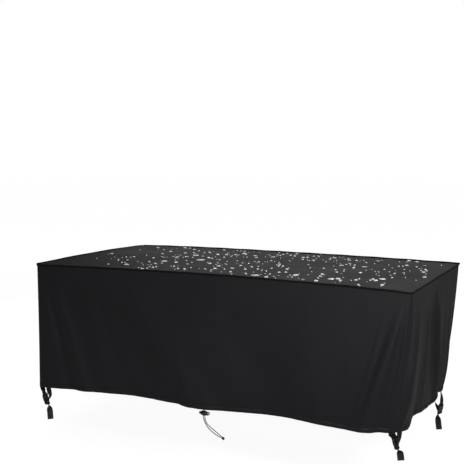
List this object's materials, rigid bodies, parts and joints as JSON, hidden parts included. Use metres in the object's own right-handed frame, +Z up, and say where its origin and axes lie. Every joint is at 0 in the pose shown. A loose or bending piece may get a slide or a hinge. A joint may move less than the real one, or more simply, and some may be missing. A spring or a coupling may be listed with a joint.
{
  "type": "fitted patio table cover",
  "caption": "Hollow fitted cover for a rectangular patio table, with a tunnel hem drawn in by a locked cord and buckled straps hanging at the corners.",
  "frame": {"origin": "under the top panel's middle, on its inner face, where the table holds it up", "axes": "+X along the long side, to the right as seen from the front; -Y towards the front, the side with the cord lock; +Z up"},
  "size_m": [2.1161, 1.0874, 0.9404],
  "materials": {
    "coated_cloth": "woven cloth with a dull water-repellent coat, charcoal",
    "binding_tape": "folded tape over the top seams, black",
    "webbing": "flat woven webbing, black",
    "moulded_plastic": "moulded, slightly shiny, black",
    "drawcord": "round braided cord, black"
  },
  "bodies": {
    "cover": {"top_panel": "coated_cloth", "skirt_front": "coated_cloth", "skirt_right": "coated_cloth", "skirt_back": "coated_cloth", "skirt_left": "coated_cloth", "binding_front": "binding_tape", "binding_right": "binding_tape", "binding_back": "binding_tape", "binding_left": "binding_tape", "strap_short_front_left": "webbing", "strap_long_front_left": "webbing", "buckle_plug_front_left": "moulded_plastic", "buckle_socket_front_left": "moulded_plastic", "strap_short_front_right": "webbing", "strap_long_front_right": "webbing", "buckle_plug_front_right": "moulded_plastic", "buckle_socket_front_right": "moulded_plastic", "strap_short_back_right": "webbing", "strap_long_back_right": "webbing", "buckle_plug_back_right": "moulded_plastic", "buckle_socket_back_right": "moulded_plastic", "strap_short_back_left": "webbing", "strap_long_back_left": "webbing", "buckle_plug_back_left": "moulded_plastic", "buckle_socket_back_left": "moulded_plastic", "cord_lock_body": "moulded_plastic", "drawcord_left": "drawcord", "drawcord_right": "drawcord", "cord_end": "moulded_plastic"},
    "lock_button": {"cord_lock_button": "moulded_plastic"}
  },
  "joints": [
    {"name": "lock_press", "type": "slide", "parent": "cover", "child": "lock_button", "axis": [1, 0, 0], "range_m": [0, 0.0045], "stiffness_N_per_m": 900, "springref_m": -0.003}
  ]
}
